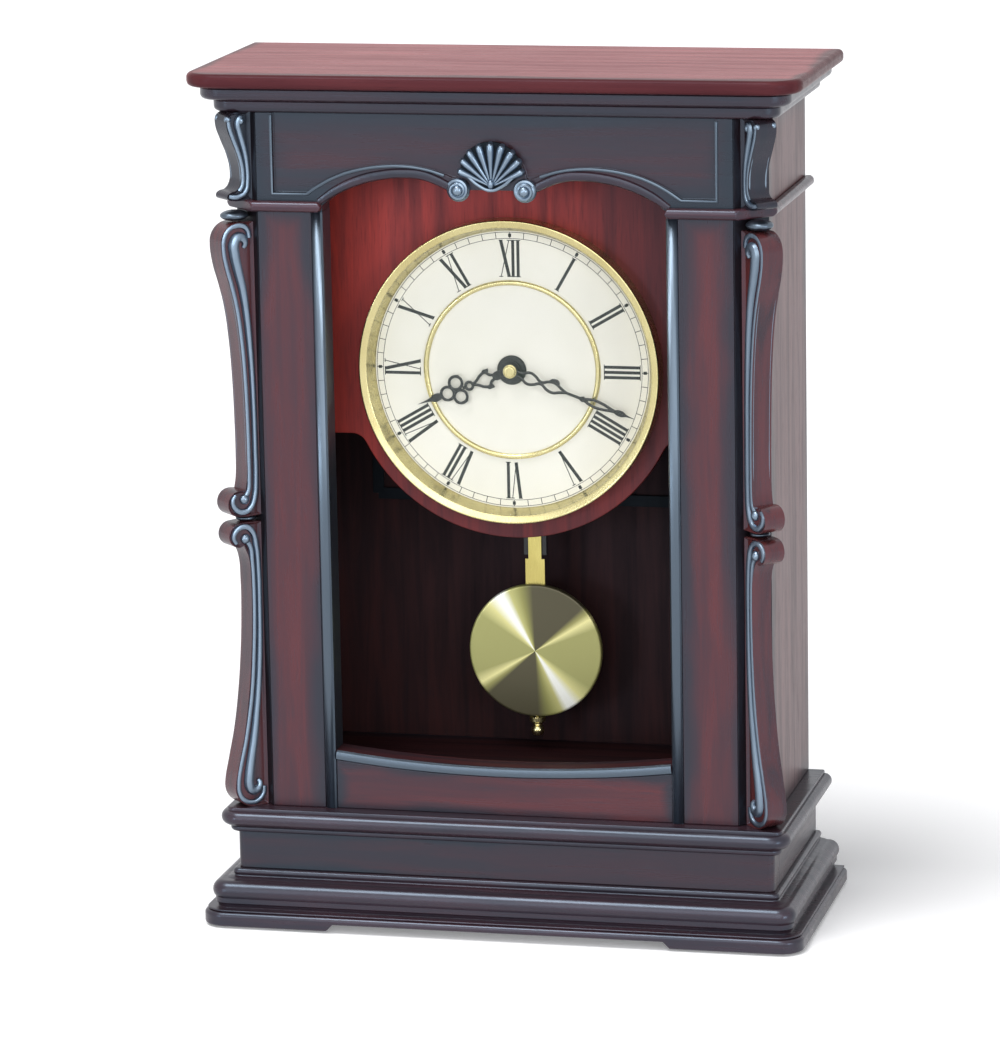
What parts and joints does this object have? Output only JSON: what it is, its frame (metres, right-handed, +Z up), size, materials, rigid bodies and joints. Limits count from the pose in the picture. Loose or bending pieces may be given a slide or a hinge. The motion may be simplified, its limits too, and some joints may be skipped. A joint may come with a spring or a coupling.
{
  "type": "desk pendulum clock",
  "caption": "Wooden desk clock with a moulded base and cornice, scrolled corner brackets, a round dial and a swinging pendulum in an open front.",
  "frame": {"origin": "middle of the footprint, on the surface the clock stands on", "axes": "+Z up, -Y towards the viewer (the dial side), +X to the viewer's right"},
  "size_m": [0.262, 0.116, 0.368],
  "materials": {
    "stained_wood": "semi-gloss lacquer over a dark red-brown stain, edges darkened",
    "carved_wood": "semi-gloss lacquer, hollows darkened",
    "board_veneer": "semi-gloss lacquer over an orange-red stain",
    "back_board": "matt stained board",
    "felt": "soft felt",
    "dial_enamel": "ivory enamel with plain black numerals and a minute track",
    "polished_brass": "polished and lacquered",
    "bob_brass": "polished in rings, so highlights fan out from the middle",
    "lens": "clear and polished",
    "hand_black": "black, satin",
    "black_plastic": "fine matt texture",
    "knob_plastic": "grey, semi-gloss",
    "hanger_plastic": "dark satin",
    "cell_sleeve": "plain printed sleeve",
    "screw_steel": "zinc plated",
    "hinge_brass": "plain, satin",
    "catch_plastic": "brown, matt"
  },
  "bodies": {
    "case": {"foot_plate": "stained_wood", "base_moulding": "stained_wood", "plinth_front": "stained_wood", "plinth_sides": "stained_wood", "plinth_back": "stained_wood", "sill_board": "stained_wood", "cornice": "stained_wood", "top_board": "stained_wood", "left_side_panel": "stained_wood", "right_side_panel": "stained_wood", "left_corner_post": "stained_wood", "right_corner_post": "stained_wood", "left_stile": "stained_wood", "right_stile": "stained_wood", "stile_beads": "stained_wood", "bottom_rail": "stained_wood", "rail_bead": "stained_wood", "frieze_panel": "stained_wood", "waist_mouldings": "stained_wood", "case_floor": "stained_wood", "shell_carving": "carved_wood", "arch_volutes": "carved_wood", "upper_brackets": "carved_wood", "long_brackets": "carved_wood", "lower_brackets": "carved_wood", "corner_beads": "carved_wood", "dial_board": "board_veneer", "back_panel": "back_board", "felt_pads": "felt", "dial_plate": "dial_enamel", "bezel": "polished_brass", "dial_lens": "lens", "movement_housing": "black_plastic", "fixing_nut": "polished_brass", "batteries": "cell_sleeve", "speaker_grille": "black_plastic", "pendulum_pivot": "screw_steel", "door_hinge_leaves": "hinge_brass", "door_magnet": "catch_plastic"},
    "minute_hand": {"centre_arbor": "polished_brass", "minute_hand": "hand_black", "hand_nut": "polished_brass"},
    "hour_hand": {"hour_pipe": "polished_brass", "hour_hand": "hand_black"},
    "set_knob": {"set_knob": "knob_plastic"},
    "battery_cover": {"battery_cover": "black_plastic"},
    "chime_switch": {"chime_switch": "knob_plastic"},
    "volume_switch": {"volume_switch": "knob_plastic"},
    "pendulum": {"pendulum_hanger": "hanger_plastic", "pendulum_rod": "polished_brass", "pendulum_bob": "bob_brass"},
    "rating_nut": {"rating_nut": "polished_brass"},
    "back_door": {"back_door": "back_board", "door_hinge_straps": "hinge_brass", "door_knob": "polished_brass", "door_strike": "screw_steel"}
  },
  "joints": [
    {"name": "minute_turn", "type": "hinge", "parent": "case", "child": "minute_hand", "pos_m": [0, -0.016, 0.2385], "axis": [0, 1, 0], "continuous": true},
    {"name": "hour_turn", "type": "hinge", "parent": "case", "child": "hour_hand", "pos_m": [0, -0.016, 0.2385], "axis": [0, 1, 0], "continuous": true},
    {"name": "knob_turn", "type": "hinge", "parent": "case", "child": "set_knob", "pos_m": [0.017, 0.021, 0.2295], "axis": [0, 1, 0], "continuous": true},
    {"name": "cover_slide", "type": "slide", "parent": "case", "child": "battery_cover", "axis": [0, 0, 1], "range_m": [0, 0.034]},
    {"name": "chime_slide", "type": "slide", "parent": "case", "child": "chime_switch", "axis": [1, 0, 0], "range_m": [-0.003, 0.003]},
    {"name": "volume_slide", "type": "slide", "parent": "case", "child": "volume_switch", "axis": [1, 0, 0], "range_m": [-0.003, 0.003]},
    {"name": "pendulum_swing", "type": "hinge", "parent": "case", "child": "pendulum", "pos_m": [0, 0.0279, 0.212], "axis": [0, 1, 0], "range_deg": [-6, 6]},
    {"name": "rating_turn", "type": "hinge", "parent": "pendulum", "child": "rating_nut", "pos_m": [0, 0.02655, 0.0781], "axis": [0, 0, 1], "continuous": true},
    {"name": "door_swing", "type": "hinge", "parent": "case", "child": "back_door", "pos_m": [-0.0753, 0.0538, 0.246], "axis": [0, 0, 1], "range_deg": [0, 100]}
  ],
  "couplings": [
    {"joint": "hour_turn", "follows": "minute_turn", "ratio": 0.083333},
    {"joint": "knob_turn", "follows": "minute_turn", "ratio": -1}
  ]
}
